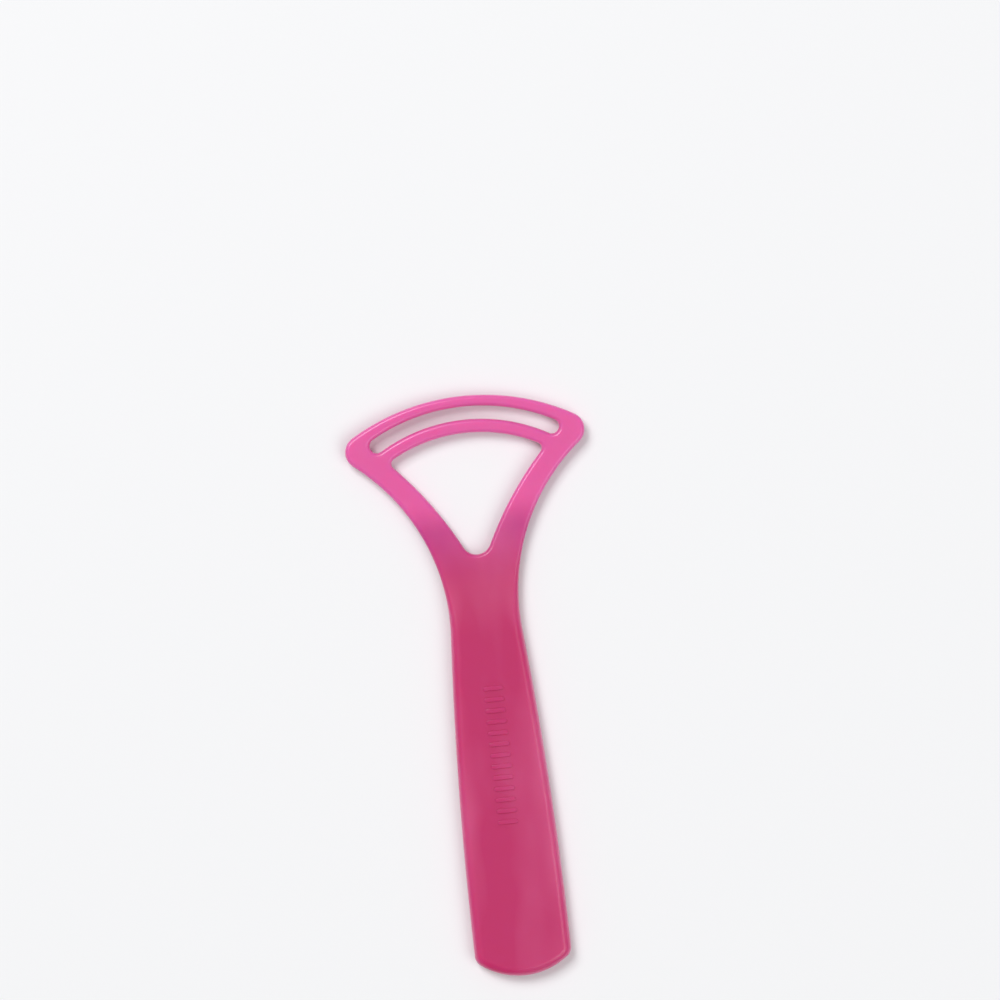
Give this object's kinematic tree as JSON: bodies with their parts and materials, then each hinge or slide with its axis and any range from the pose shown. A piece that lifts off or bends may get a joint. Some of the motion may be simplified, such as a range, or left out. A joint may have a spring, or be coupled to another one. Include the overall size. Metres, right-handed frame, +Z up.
{
  "type": "tongue scraper",
  "caption": "Flat one-piece plastic tongue scraper with a tapering paddle handle and a forked head that holds arched scraping blades with a curved slot between them.",
  "frame": {"origin": "centre of the outline's box, on the surface that the scraper lies on", "axes": "+Y along the handle towards the blades, +X across to the right arm, +Z up from the scraping side"},
  "size_m": [0.0496, 0.12, 0.0043],
  "materials": {
    "pink_plastic": "translucent pink injection-moulded plastic, smooth satin gloss"
  },
  "bodies": {
    "root": {"handle": "pink_plastic", "neck": "pink_plastic", "fork": "pink_plastic", "left_arm": "pink_plastic", "right_arm": "pink_plastic", "outer_blade": "pink_plastic", "inner_blade": "pink_plastic", "outer_scraping_lip": "pink_plastic", "inner_scraping_lip": "pink_plastic"}
  },
  "joints": []
}
